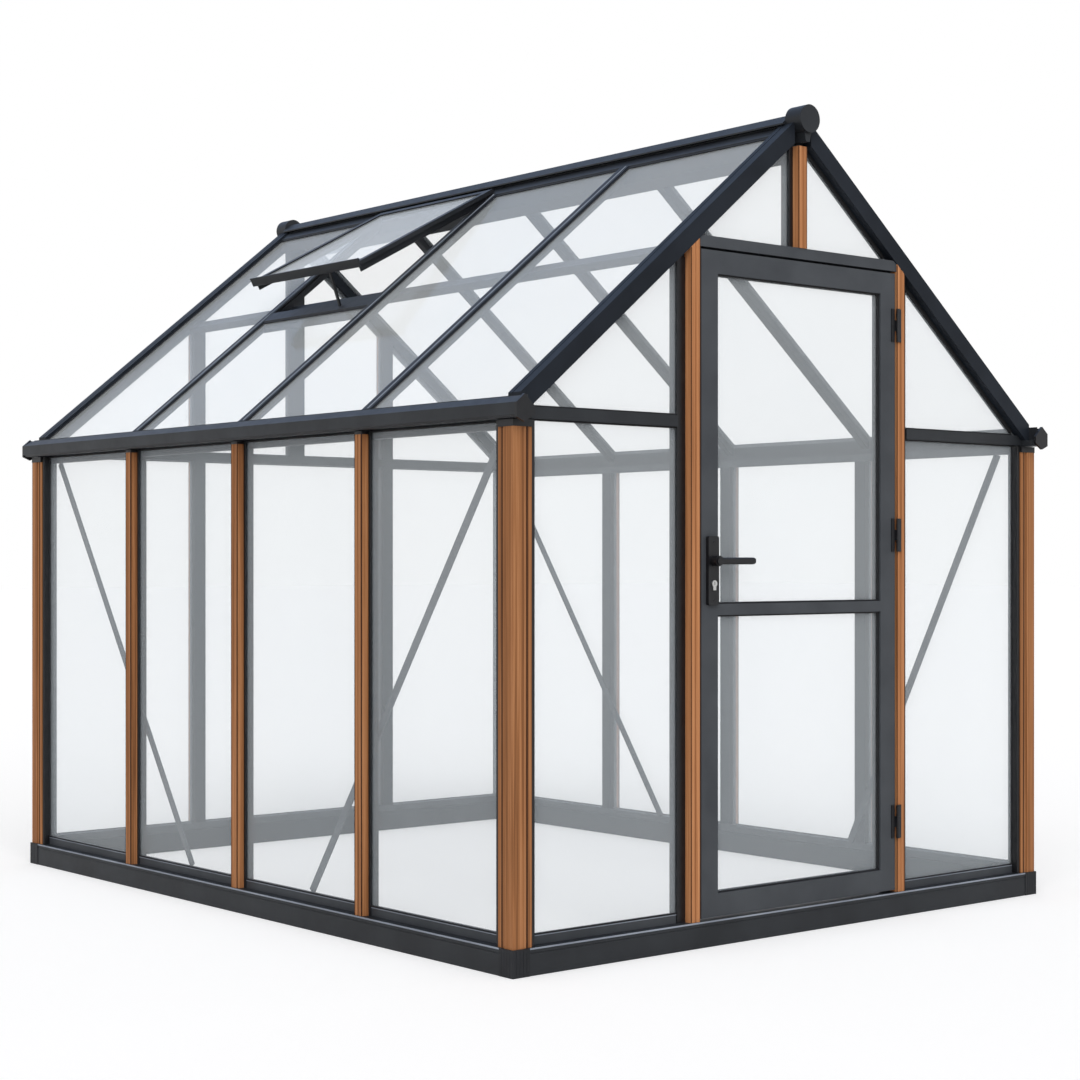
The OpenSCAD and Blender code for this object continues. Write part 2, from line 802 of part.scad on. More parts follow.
module vent_frame() {
    low = -vent_roll;
    high = low + vent_t;
    slot_low = low + (vent_t - slot_t) / 2;
    color(metal) on_vent() {
        difference() {
            block([0, vent_out0, low], [vent_len, vent_out1, high]);
            vent_inset(vent_bar_w, low - over, high + over);
            vent_inset(vent_bar_w - slot_d, slot_low, slot_low + slot_t);
        }
        translate([0, vent_out0, 0]) rotate([-90, 0, 0]) cylinder(r = vent_roll, h = vent_out1 - vent_out0);
    }
}

module vent_glass() {
    z0 = -vent_roll + (vent_t - glass_t) / 2;
    color(glazing) on_vent() vent_inset(vent_bar_w - bite, z0, z0 + glass_t);
}

// A flat stay that stands on the sill and leans out to the vent's lower bar
function under_vent(x) = roof_z(vent_hinge_x, -cap_drop + vent_roll + pin_play)
    - (x - vent_hinge_x) * tan(pitch - vent_open) - (vent_roll + pin_play) / cos(pitch - vent_open);

module vent_stay() {
    along = 0.3;
    stay_y = vent_y0 + (vent_y1 - vent_y0) * along;
    foot = sill_x - stay_t / 2;
    foot_n = scribe_play - cap_drop;
    head = vent_hinge_x + (vent_len - vent_bar_w / 2) * cos(pitch - vent_open) - stay_t;
    color(hardware) mirror([1, 0, 0]) upright(stay_y - stay_w / 2, stay_y + stay_w / 2)
        polygon([[foot, roof_z(foot, foot_n)], [foot + stay_t, roof_z(foot + stay_t, foot_n)],
            [head + stay_t, under_vent(head + stay_t)], [head, under_vent(head)]]);
}

// Door leaf
module door_stiles() {
    color(metal) on_front() difference() {
        both_sides() block([stile_in, door_set, leaf_low], [leaf_x, door_in, door_top]);
        both_sides() block([stile_in - over, door_pane_out - glass_play, leaf_low - over],
            [stile_in + slot_d, door_pane_out + glass_t + glass_play, door_top + over]);
        spindle_hole(door_set - over, door_in + over);
    }
}

module spindle_hole(y0, y1) {
    translate([spindle_x, y1, handle_h]) rotate([90, 0, 0]) cylinder(r = spindle_r + pin_play, h = y1 - y0);
}

module door_rail(z0, z1, slot_low, slot_high) {
    y0 = door_pane_out - glass_play;
    y1 = door_pane_out + glass_t + glass_play;
    difference() {
        block([-stile_in, door_set, z0], [stile_in, door_in, z1]);
        if (slot_low) block([-leaf_x, y0, z0 - over], [leaf_x, y1, z0 + slot_d]);
        if (slot_high) block([-leaf_x, y0, z1 - slot_d], [leaf_x, y1, z1 + over]);
    }
}

module door_rails() {
    color(metal) on_front() {
        door_rail(leaf_low, leaf_low + stile_w, false, true);
        door_rail(cross_h - cross_t / 2, cross_h + cross_t / 2, true, true);
        door_rail(door_top - stile_w, door_top, true, false);
    }
}

module door_glass() {
    x = stile_in + bite;
    y1 = door_pane_out + glass_t;
    color(glazing) on_front() {
        block([-x, door_pane_out, leaf_low + stile_w - bite], [x, y1, cross_h - cross_t / 2 + bite]);
        block([-x, door_pane_out, cross_h + cross_t / 2 - bite], [x, y1, door_top - stile_w + bite]);
    }
}

// Hinges: the post leaf holds the pin and the outer knuckles, the door leaf the middle one
knuckle_h = hinge_h / 3;
knuckle_gap = 0.5;
barrel_gap = 0.5;
module at_hinges() { on_front() for (z = hinge_z) translate([hinge_x, 0, z - hinge_h / 2]) children(); }

module door_hinge_leaves() {
    plate_gap = 3.5;
    plate_x = -barrel_r - plate_gap;
    low = knuckle_h + knuckle_gap;
    high = 2 * knuckle_h - knuckle_gap;
    color(hardware) at_hinges() difference() {
        union() {
            block([plate_x - leaf_w, door_set - leaf_t, 0], [plate_x, door_set, hinge_h]);
            block([plate_x, door_set - leaf_t, low], [0, door_set, high]);
            block([-barrel_r, 0, low], [0, door_set, high]);
            translate([0, 0, low]) cylinder(r = barrel_r, h = high - low);
        }
        cylinder(r = pin_r + pin_play, h = hinge_h);
    }
}

module post_hinge_leaves() {
    plate_x = barrel_r + barrel_gap;
    color(hardware) at_hinges() {
        block([plate_x, strip_set - leaf_t, 0], [plate_x + leaf_w, strip_set, hinge_h]);
        for (z = [0, 2 * knuckle_h]) {
            translate([0, 0, z]) cylinder(r = barrel_r, h = knuckle_h);
            block([0, strip_set - leaf_t, z], [plate_x, strip_set - barrel_gap, z + knuckle_h]);
        }
        cylinder(r = pin_r, h = hinge_h);
    }
}

// Handles: a plate and a lever on each face, on one spindle through the lock stile
module plate_outline() {
    plate_rise = 61;
    plate_low = handle_h + plate_rise - plate_h;
    r = 6;
    translate([spindle_x - plate_w / 2 + r, plate_low + r]) square([plate_w - 2 * r, plate_h - 2 * r]);
    for (x = [-1, 1], z = [plate_low + r, plate_low + plate_h - r])
        translate([spindle_x + x * (plate_w / 2 - r), z]) circle(r);
    translate([spindle_x - plate_w / 2, plate_low + r]) square([plate_w, plate_h - 2 * r]);
    translate([spindle_x - plate_w / 2 + r, plate_low]) square([plate_w - 2 * r, plate_h]);
}

module handle_plates() {
    color(hardware) on_front() difference() {
        union() {
            upright(door_set - plate_t, door_set) plate_outline();
            upright(door_in, door_in + plate_t) plate_outline();
        }
        spindle_hole(door_set - plate_t - over, door_in + plate_t + over);
    }
}

module lock_cylinders() {
    lock_drop = 56;
    lock_z = handle_h - lock_drop;
    lock_r = 8.5;
    tail_w = 10;
    tail_h = 16;
    proud = 3;
    color(silver) on_front() for (y = [door_set - plate_t - proud, door_in + plate_t])
        upright(y, y + proud) {
            translate([spindle_x, lock_z]) circle(lock_r);
            translate([spindle_x - tail_w / 2, lock_z - tail_h]) square([tail_w, tail_h]);
        }
}

// A lever on the outer face: a bar with rounded edges and a boss that reaches back to the plate
lever_near = plate_t + lever_gap;
module lever_grip() {
    edge_r = lever_t / 2;
    back = -lever_near;
    front = back - lever_t;
    intersection() {
        upright(front, back) {
            circle(lever_w / 2);
            translate([0, -lever_w / 2]) square([lever_len - lever_w / 2, lever_w]);
            translate([lever_len - lever_w / 2, 0]) circle(lever_w / 2);
        }
        translate([-lever_w, (front + back) / 2, 0]) rotate([90, 0, 90])
            linear_extrude(lever_len + 2 * lever_w) {
                for (z = [-1, 1]) translate([0, z * (lever_w / 2 - edge_r)]) circle(edge_r);
                square([lever_t, lever_w - lever_t], center = true);
            }
    }
    upright(back - edge_r, -plate_t - pin_play) difference() {
        circle(boss_r);
        circle(spindle_r + pin_play);
    }
    upright(front, back) circle(boss_r - lever_t / 3);
}

module lever_grips() {
    color(hardware) on_front() translate([spindle_x, 0, handle_h]) {
        translate([0, door_set, 0]) lever_grip();
        translate([0, door_in, 0]) mirror([0, 1, 0]) lever_grip();
    }
}

module lever_spindle() {
    color(hardware) on_front() translate([spindle_x, door_in + lever_near, handle_h]) rotate([90, 0, 0])
        cylinder(r = spindle_r, h = door_t + 2 * lever_near);
}

base_sills();
base_corner_blocks();
corner_posts();
corner_strips();
corner_caps();
side_wall_rails();
side_wall_studs();
side_wall_strips();
left_wall_glass();
right_wall_glass();
wall_braces();
gable_bottom_rails();
front_gable_rails();
door_jambs();
door_lintel();
king_posts();
front_strips();
front_glass();
back_gable_rails();
back_studs();
back_strips();
back_glass();
gable_rafters();
ridge_beam();
ridge_end_caps();
left_gutter();
right_gutter();
gutter_end_caps();
roof_bars();
left_roof_purlin();
left_roof_glass();
right_roof_glass();
vent_sill();
vent_frame();
vent_glass();
vent_stay();
door_stiles();
door_rails();
door_glass();
door_hinge_leaves();
post_hinge_leaves();
handle_plates();
lock_cylinders();
lever_grips();
lever_spindle();
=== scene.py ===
# A small glass greenhouse: dark aluminium frame, timber strips over the posts, a glazed door in the
# front gable and a roof vent propped open. The sections follow the order in which it is put together.
import math

import bpy
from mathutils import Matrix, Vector


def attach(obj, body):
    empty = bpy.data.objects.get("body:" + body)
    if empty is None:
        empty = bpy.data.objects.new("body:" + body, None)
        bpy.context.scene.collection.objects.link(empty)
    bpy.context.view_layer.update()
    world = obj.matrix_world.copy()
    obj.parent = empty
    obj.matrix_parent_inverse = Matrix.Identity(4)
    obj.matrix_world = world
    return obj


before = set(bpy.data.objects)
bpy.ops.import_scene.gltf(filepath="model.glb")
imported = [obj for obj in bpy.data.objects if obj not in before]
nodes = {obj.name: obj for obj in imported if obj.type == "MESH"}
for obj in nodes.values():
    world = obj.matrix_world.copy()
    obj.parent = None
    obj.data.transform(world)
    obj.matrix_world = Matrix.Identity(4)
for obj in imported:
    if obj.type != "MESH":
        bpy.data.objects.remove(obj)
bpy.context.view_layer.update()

# Base: four folded aluminium sills stand on the ground and are plugged into a ribbed block at each
# corner. The aluminium is powder coated in one dark grey with a fine orange peel.
MM = 0.001
HALF_W = 960
HALF_L = 1200
SILL_TOP = 64
SILL_FACE = 1.5
BLOCK_LEG = 51
# Pale coat for thin strips along edges: painted highlight, standing in for the light those edges catch.
SILL_HIGHLIGHT_W = 4
HIGHLIGHT_T = 1
HIGHLIGHT_DARK = (0.19, 0.21, 0.25, 1)
HIGHLIGHT_LIGHT = (0.28, 0.31, 0.36, 1)
COAT_DARK = (0.015, 0.0165, 0.019, 1)
COAT_LIGHT = (0.022, 0.0245, 0.028, 1)
BLOCK_DARK = (0.010, 0.011, 0.013, 1)
BLOCK_LIGHT = (0.016, 0.017, 0.020, 1)
COAT_CLOUD = (7, 7, 7)
COAT_SHEEN = (40, 40, 40)
COAT_PEEL = (900, 900, 900)
PEEL_DEPTH = 0.2
COAT_ROUGH = (0.36, 0.5)
COAT_GLOSS = 0.22
STRIP_EDGE = 0.6
HIGHLIGHT_EDGE = 0.3


def new_finish(name):
    finish = bpy.data.materials.new(name)
    finish.use_nodes = True
    return finish, finish.node_tree, finish.node_tree.nodes["Principled BSDF"]


def noise(tree, scale, detail=3.0, distortion=0.0):
    place = tree.nodes.new("ShaderNodeTexCoord")
    mapping = tree.nodes.new("ShaderNodeMapping")
    mapping.inputs["Scale"].default_value = scale
    texture = tree.nodes.new("ShaderNodeTexNoise")
    texture.inputs["Scale"].default_value = 1.0
    texture.inputs["Detail"].default_value = detail
    texture.inputs["Distortion"].default_value = distortion
    tree.links.new(place.outputs["Object"], mapping.inputs["Vector"])
    tree.links.new(mapping.outputs["Vector"], texture.inputs["Vector"])
    return texture.outputs["Fac"]


def ramp(tree, value, stops):
    node = tree.nodes.new("ShaderNodeValToRGB")
    elements = node.color_ramp.elements
    while len(elements) < len(stops):
        elements.new(0.5)
    for element, (position, colour) in zip(elements, stops):
        element.position = position
        element.color = colour
    tree.links.new(value, node.inputs["Fac"])
    return node.outputs["Color"]


def spread(tree, value, low, high):
    node = tree.nodes.new("ShaderNodeMapRange")
    node.inputs["To Min"].default_value = low
    node.inputs["To Max"].default_value = high
    tree.links.new(value, node.inputs["Value"])
    return node.outputs["Result"]


def bump(tree, shader, height, depth, strength=1.0):
    node = tree.nodes.new("ShaderNodeBump")
    node.inputs["Distance"].default_value = depth
    node.inputs["Strength"].default_value = strength
    tree.links.new(height, node.inputs["Height"])
    tree.links.new(node.outputs["Normal"], shader.inputs["Normal"])


def powder_coat(name, dark, light, gloss=COAT_GLOSS):
    finish, tree, shader = new_finish(name)
    cloud = noise(tree, COAT_CLOUD)
    tree.links.new(ramp(tree, cloud, [(0.35, dark), (0.65, light)]), shader.inputs["Base Color"])
    tree.links.new(spread(tree, noise(tree, COAT_SHEEN), *COAT_ROUGH), shader.inputs["Roughness"])
    shader.inputs["Specular IOR Level"].default_value = gloss
    bump(tree, shader, noise(tree, COAT_PEEL, 1.0), PEEL_DEPTH * MM, 0.25)
    return finish


def dress(finish, *names):
    for name in names:
        for slot in nodes[name].material_slots:
            slot.material = finish


coat = powder_coat("powder_coat", COAT_DARK, COAT_LIGHT)
dress(coat, "base_sills")
dark_coat = powder_coat("dark_coat", BLOCK_DARK, BLOCK_LIGHT)
dress(dark_coat, "base_corner_blocks")


def node_tree(name, *sizes):
    tree = bpy.data.node_groups.new(name, "GeometryNodeTree")
    sockets = tree.interface.new_socket
    sockets("Geometry", in_out="INPUT", socket_type="NodeSocketGeometry")
    for size in sizes:
        sockets(size, in_out="INPUT", socket_type="NodeSocketFloat")
    sockets("Finish", in_out="INPUT", socket_type="NodeSocketMaterial")
    sockets("Geometry", in_out="OUTPUT", socket_type="NodeSocketGeometry")
    return tree, tree.nodes.new("NodeGroupInput"), tree.nodes.new("NodeGroupOutput")


def outward_field(tree):
    field = tree.nodes.new("GeometryNodeInputNamedAttribute")
    field.data_type = "FLOAT_VECTOR"
    field.inputs["Name"].default_value = "outward"
    return field.outputs["Attribute"]


def end_tree(tree, geometry, start, end):
    real = tree.nodes.new("GeometryNodeRealizeInstances")
    finish = tree.nodes.new("GeometryNodeSetMaterial")
    tree.links.new(geometry, real.inputs["Geometry"])
    tree.links.new(real.outputs["Geometry"], finish.inputs["Geometry"])
    tree.links.new(start.outputs["Finish"], finish.inputs["Material"])
    tree.links.new(finish.outputs["Geometry"], end.inputs["Geometry"])


def strip_tree():
    tree, start, end = node_tree("laid_strip", "Width", "Thickness", "Edge")
    path = tree.nodes.new("GeometryNodeMeshToCurve")
    facing = tree.nodes.new("GeometryNodeSetCurveNormal")
    facing.mode = "FREE"
    section = tree.nodes.new("GeometryNodeCurvePrimitiveQuadrilateral")
    rounded = tree.nodes.new("GeometryNodeFilletCurve")
    rounded.mode = "POLY"
    rounded.inputs["Count"].default_value = 2
    swept = tree.nodes.new("GeometryNodeCurveToMesh")
    swept.inputs["Fill Caps"].default_value = True
    tree.links.new(start.outputs["Geometry"], path.inputs["Mesh"])
    tree.links.new(path.outputs["Curve"], facing.inputs["Curve"])
    tree.links.new(outward_field(tree), facing.inputs["Normal"])
    tree.links.new(start.outputs["Thickness"], section.inputs["Width"])
    tree.links.new(start.outputs["Width"], section.inputs["Height"])
    tree.links.new(section.outputs["Curve"], rounded.inputs["Curve"])
    tree.links.new(start.outputs["Edge"], rounded.inputs["Radius"])
    tree.links.new(facing.outputs["Curve"], swept.inputs["Curve"])
    tree.links.new(rounded.outputs["Curve"], swept.inputs["Profile Curve"])
    end_tree(tree, swept.outputs["Mesh"], start, end)
    return tree


LAID_STRIP = strip_tree()


def make_piece(name, body, points, edges, outwards, tree, values):
    mesh = bpy.data.meshes.new(name)
    mesh.from_pydata([Vector(point) * MM for point in points], edges, [])
    facing = mesh.attributes.new("outward", "FLOAT_VECTOR", "POINT")
    for item, outward in zip(facing.data, outwards):
        item.vector = outward
    piece = bpy.data.objects.new(name, mesh)
    bpy.context.scene.collection.objects.link(piece)
    modifier = piece.modifiers.new("nodes", "NODES")
    modifier.node_group = tree
    for item in tree.interface.items_tree:
        if item.in_out == "INPUT" and item.name in values:
            modifier[item.identifier] = values[item.name]
    made = bpy.data.meshes.new_from_object(piece.evaluated_get(bpy.context.evaluated_depsgraph_get()))
    piece.modifiers.remove(modifier)
    piece.data = made
    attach(piece, body)


def lay_strips(name, body, finish, runs, width, thickness, edge=STRIP_EDGE):
    points = [point for first, last, outward in runs for point in (first, last)]
    outwards = [outward for first, last, outward in runs for point in (first, last)]
    edges = [(2 * run, 2 * run + 1) for run in range(len(runs))]
    values = {"Width": width * MM, "Thickness": thickness * MM, "Edge": edge * MM, "Finish": finish}
    make_piece(name, body, points, edges, outwards, LAID_STRIP, values)


def level_on_side(side, first, last, depth, height):
    x = side * (HALF_W - depth)
    return (x, first, height), (x, last, height), (side, 0, 0)


def level_on_gable(end, first, last, depth, height):
    y = end * (HALF_L - depth)
    return (first, y, height), (last, y, height), (0, end, 0)


# A thin pale strip along each sill's top outer edge is painted highlight, a much lighter copy of the
# coat.
painted_highlight_coat = powder_coat("painted_highlight_coat", HIGHLIGHT_DARK, HIGHLIGHT_LIGHT)
runs = []
for hand in (-1, 1):
    along, across = HALF_L - BLOCK_LEG, HALF_W - BLOCK_LEG
    height = SILL_TOP - SILL_HIGHLIGHT_W / 2
    depth = SILL_FACE - HIGHLIGHT_T / 2
    runs.append(level_on_side(hand, -along, along, depth, height))
    runs.append(level_on_gable(hand, -across, across, depth, height))
lay_strips("sill_highlights", "house", painted_highlight_coat, runs, SILL_HIGHLIGHT_W, HIGHLIGHT_T, HIGHLIGHT_EDGE)

# Corner posts: slotted aluminium posts stand in the corner blocks, each with a timber strip outside
# that has a raised square edge and two grooves, each darkened by a near-black strip of painted shade.
# A black cap closes the strip under the gutter, and a black cover over a rubber gasket fills the joint
# between the strip and the glass.
RAIL_LOW = 86
PANE_TOP = 1270
PANE_FACE = 33.25
LEG_END = 63
FRAME_FACE = 30
GASKET_FACE = 28
GABLE_RAIL_LOW = 1274
CORNER_GASKET = 12
CORNER_COVER_FACE = 11
CORNER_COVER = 11
CORNER_GROOVE = 48.5
CORNER_STRIP_TOP = 1254
GROOVE_W = 5
GROOVE_T = 2
GROOVE_DEPTH = 8.6
WOOD_DARK = (0.165, 0.066, 0.026, 1)
WOOD_MID = (0.29, 0.12, 0.046, 1)
WOOD_LIGHT = (0.41, 0.186, 0.08, 1)
# Near-black timber for thin lines of painted shade in grooves and along strip edges.
SHADE_LINE_DARK = (0.034, 0.012, 0.005, 1)
SHADE_LINE_LIGHT = (0.055, 0.021, 0.009, 1)
# Dark timber for lines of painted shade along the gable strips' edges.
ARRIS_SHADE_DARK = (0.10, 0.038, 0.015, 1)
ARRIS_SHADE_LIGHT = (0.15, 0.06, 0.024, 1)
BLACK_LOW = (0.004, 0.004, 0.005, 1)
BLACK_HIGH = (0.008, 0.008, 0.009, 1)
TIMBER_FIGURE = (105, 105, 0.9)
TIMBER_FIBRE = (420, 420, 6)
FIBRE_SHARE = 0.25
FIBRE_DEPTH = 0.4
TIMBER_ROUGH = (0.5, 0.7)
TIMBER_GLOSS = 0.12
PLASTIC_CLOUD = (60, 60, 60)
PLASTIC_GRAIN = (1500, 1500, 1500)
GRAIN_DEPTH = 0.1
PLASTIC_GLOSS = 0.35
PLASTIC_ROUGH = 0.42
RUBBER_ROUGH = 0.62


def oiled_timber(name, dark, mid, light):
    finish, tree, shader = new_finish(name)
    figure = noise(tree, TIMBER_FIGURE, 3.0, 0.6)
    fibre = noise(tree, TIMBER_FIBRE, 2.0)
    mixed = tree.nodes.new("ShaderNodeMix")
    mixed.inputs["Factor"].default_value = FIBRE_SHARE
    tree.links.new(figure, mixed.inputs["A"])
    tree.links.new(fibre, mixed.inputs["B"])
    stops = [(0.34, dark), (0.5, mid), (0.64, light)]
    tree.links.new(ramp(tree, mixed.outputs["Result"], stops), shader.inputs["Base Color"])
    tree.links.new(spread(tree, fibre, *TIMBER_ROUGH), shader.inputs["Roughness"])
    shader.inputs["Specular IOR Level"].default_value = TIMBER_GLOSS
    bump(tree, shader, fibre, FIBRE_DEPTH * MM, 0.4)
    return finish


def black_plastic(name, roughness):
    finish, tree, shader = new_finish(name)
    cloud = noise(tree, PLASTIC_CLOUD)
    tree.links.new(ramp(tree, cloud, [(0.3, BLACK_LOW), (0.7, BLACK_HIGH)]), shader.inputs["Base Color"])
    tree.links.new(spread(tree, cloud, roughness - 0.05, roughness + 0.05), shader.inputs["Roughness"])
    shader.inputs["Specular IOR Level"].default_value = PLASTIC_GLOSS
    bump(tree, shader, noise(tree, PLASTIC_GRAIN, 1.0), GRAIN_DEPTH * MM, 0.3)
    return finish


timber = oiled_timber("oiled_timber", WOOD_DARK, WOOD_MID, WOOD_LIGHT)
painted_shade_lines = oiled_timber("painted_shade_lines", SHADE_LINE_DARK, SHADE_LINE_DARK, SHADE_LINE_LIGHT)
painted_arris_shade = oiled_timber("painted_arris_shade", ARRIS_SHADE_DARK, ARRIS_SHADE_DARK, ARRIS_SHADE_LIGHT)
black = black_plastic("black_fittings", PLASTIC_ROUGH)
rubber = black_plastic("black_rubber", RUBBER_ROUGH)
dress(coat, "corner_posts")
dress(timber, "corner_strips")
dress(black, "corner_caps")


def upright_on_side(side, along, depth, low, high):
    x = side * (HALF_W - depth)
    return (x, along, low), (x, along, high), (side, 0, 0)


def upright_on_gable(end, across, depth, low, high):
    y = end * (HALF_L - depth)
    return (across, y, low), (across, y, high), (0, end, 0)


GASKET_T = PANE_FACE - GASKET_FACE
GASKET_MID = GASKET_FACE + GASKET_T / 2
corner_mid = LEG_END + CORNER_GASKET / 2
corner_cover_mid = LEG_END + CORNER_COVER / 2
corner_cover_t = FRAME_FACE - CORNER_COVER_FACE
corner_cover_depth = CORNER_COVER_FACE + corner_cover_t / 2
gasket_runs = []
cover_runs = []
groove_runs = []
for hand in (-1, 1):
    for end in (-1, 1):
        along, across = end * (HALF_L - corner_mid), hand * (HALF_W - corner_mid)
        gasket_runs.append(upright_on_side(hand, along, GASKET_MID, RAIL_LOW, PANE_TOP))
        gasket_runs.append(upright_on_gable(end, across, GASKET_MID, RAIL_LOW, GABLE_RAIL_LOW))
        along, across = end * (HALF_L - corner_cover_mid), hand * (HALF_W - corner_cover_mid)
        cover_runs.append(upright_on_side(hand, along, corner_cover_depth, SILL_TOP, PANE_TOP))
        cover_runs.append(upright_on_gable(end, across, corner_cover_depth, SILL_TOP, PANE_TOP))
        along, across = end * (HALF_L - CORNER_GROOVE), hand * (HALF_W - CORNER_GROOVE)
        groove_runs.append(upright_on_side(hand, along, GROOVE_DEPTH, SILL_TOP, CORNER_STRIP_TOP))
        groove_runs.append(upright_on_gable(end, across, GROOVE_DEPTH, SILL_TOP, CORNER_STRIP_TOP))
lay_strips("corner_gaskets", "house", rubber, gasket_runs, CORNER_GASKET, GASKET_T)
lay_strips("corner_covers", "house", black, cover_runs, CORNER_COVER, corner_cover_t)
# Near-black strips on each leg beside the raised edge are painted shade for the grooves.
lay_strips("corner_groove_shade", "house", painted_shade_lines, groove_runs, GROOVE_W, GROOVE_T)

# Side walls: bottom and top rails, three studs with a timber strip over each, and flat braces screwed
# across the inside. The panes slide into the slots of the studs and rails, black cover strips close
# the studs beside the timber, and a rubber bead seals each pane along the rails.
STUD_LINES = (-582.5, 0, 582.5)
STUD_HALF = 23
STRIP_HALF = 15
STRIP_TOP = 1262
STRIP_FACE = 5
COVER_T = 4
BEAD_W = 4
RAIL_HIGHLIGHT_W = 2.5
EDGE_LINE = 2.6
EDGE_LINE_IN = 1.0
# Lighter copy of the same powder coat: painted light for the sheen on the rails, braces, door and lintel.
LIT_COAT_DARK = (0.038, 0.042, 0.048, 1)
LIT_COAT_LIGHT = (0.052, 0.057, 0.064, 1)
GLASS_LOW = (0.82, 0.89, 0.94, 1)
GLASS_HIGH = (0.88, 0.94, 0.98, 1)
PANE_CLOUD = (1.3, 1.3, 0.8)
GLASS_ROUGH = 0.06
GLASS_IOR = 1.45
WALL_ALPHA = 0.135
painted_lit_coat = powder_coat("painted_lit_coat", LIT_COAT_DARK, LIT_COAT_LIGHT)
dress(painted_lit_coat, "side_wall_rails", "wall_braces")
dress(coat, "side_wall_studs")
dress(timber, "side_wall_strips")


def clear_glass(name, alpha, low=GLASS_LOW, high=GLASS_HIGH):
    finish, tree, shader = new_finish(name)
    cloud = noise(tree, PANE_CLOUD, 2.0, 0.4)
    tree.links.new(ramp(tree, cloud, [(0.35, low), (0.65, high)]), shader.inputs["Base Color"])
    shader.inputs["Roughness"].default_value = GLASS_ROUGH
    shader.inputs["IOR"].default_value = GLASS_IOR
    shader.inputs["Alpha"].default_value = alpha
    return finish


wall_glass = clear_glass("wall_glass", WALL_ALPHA)
dress(wall_glass, "left_wall_glass", "right_wall_glass")

cover_w = STUD_HALF - STRIP_HALF
cover_mid = STRIP_HALF + cover_w / 2
cover_depth = FRAME_FACE - COVER_T / 2
edge_line_mid = STRIP_HALF - EDGE_LINE_IN
edge_line_depth = STRIP_FACE + EDGE_LINE_IN
strip_mid = (STRIP_FACE + FRAME_FACE) / 2
cover_runs = []
line_runs = []
cap_runs = []
for hand in (-1, 1):
    for line in STUD_LINES:
        for edge in (-1, 1):
            along = line + edge * cover_mid
            cover_runs.append(upright_on_side(hand, along, cover_depth, SILL_TOP, PANE_TOP))
            along = line + edge * edge_line_mid
            line_runs.append(upright_on_side(hand, along, edge_line_depth, SILL_TOP, STRIP_TOP))
        cap_runs.append(upright_on_side(hand, line, strip_mid, STRIP_TOP, PANE_TOP))
lay_strips("stud_covers", "house", black, cover_runs, cover_w, COVER_T)
# Near-black lines along both edges of each side strip are painted shade.
lay_strips("side_edge_shade", "house", painted_shade_lines, line_runs, EDGE_LINE, EDGE_LINE)
strip_w, strip_t = 2 * STRIP_HALF, FRAME_FACE - STRIP_FACE
lay_strips("side_strip_caps", "house", black, cap_runs, strip_w, strip_t)

bay_edges = [corner_mid + CORNER_GASKET / 2 - HALF_L]
for line in STUD_LINES:
    bay_edges += [line - STUD_HALF, line + STUD_HALF]
bay_edges.append(-bay_edges[0])
side_bays = list(zip(bay_edges[0::2], bay_edges[1::2]))
bead_and_highlight_runs = []
highlight_runs = []
highlight_depth = FRAME_FACE - HIGHLIGHT_T / 2
highlight_height = RAIL_LOW - RAIL_HIGHLIGHT_W / 2
for hand in (-1, 1):
    for first, last in side_bays:
        for height in (RAIL_LOW + BEAD_W / 2, PANE_TOP - BEAD_W / 2):
            bead_and_highlight_runs.append(level_on_side(hand, first, last, GASKET_MID, height))
        highlight_runs.append(level_on_side(hand, first, last, highlight_depth, highlight_height))
lay_strips("side_beads", "house", rubber, bead_and_highlight_runs, BEAD_W, GASKET_T)
# A pale strip along the top edge of each bottom rail is painted highlight.
lay_strips("side_rail_highlights", "house", painted_highlight_coat, highlight_runs, RAIL_HIGHLIGHT_W, HIGHLIGHT_T, HIGHLIGHT_EDGE)

# Gables: bottom and eaves rails, door jambs with a lintel, king posts and studs, all of the same
# coated aluminium, with timber strips screwed over the posts and panes cut to the rafters. Black covers
# and rubber beads close them as on the side walls.
JAMB_OUT = 423
POST_LINE = 380
KING_HALF = 30
LINTEL_TOP = 1746.5
KING_TOP = 2007
GABLE_RAIL_TOP = 1302
APEX = 2092
ROOF_TAN = 782 / 960
PITCH = math.atan(ROOF_TAN)
RAFTER_T = 44
RAFTER_GAP = 1
RAKED_W = 10
# Lighter copy of the same timber for the gable strips: painted light, the wood being the same as on the
# sides.
LIT_WOOD_DARK = (0.29, 0.118, 0.046, 1)
LIT_WOOD_MID = (0.43, 0.182, 0.074, 1)
LIT_WOOD_LIGHT = (0.53, 0.245, 0.11, 1)
# The bottom rails and lintel take the lighter copy of the coat, which is painted light, as on the side
# rails.
dress(painted_lit_coat, "gable_bottom_rails", "door_lintel")
dress(coat, "front_gable_rails", "back_gable_rails", "door_jambs")
dress(coat, "king_posts", "back_studs")
# Both gables' strips take this lighter timber, which is painted light.
painted_lit_timber = oiled_timber("painted_lit_timber", LIT_WOOD_DARK, LIT_WOOD_MID, LIT_WOOD_LIGHT)
dress(painted_lit_timber, "front_strips", "back_strips")
dress(wall_glass, "front_glass", "back_glass")


def roof_height(across, depth):
    return APEX - depth / math.cos(PITCH) - ROOF_TAN * across


def under_rafter(across):
    return roof_height(across, RAFTER_T) - RAFTER_GAP


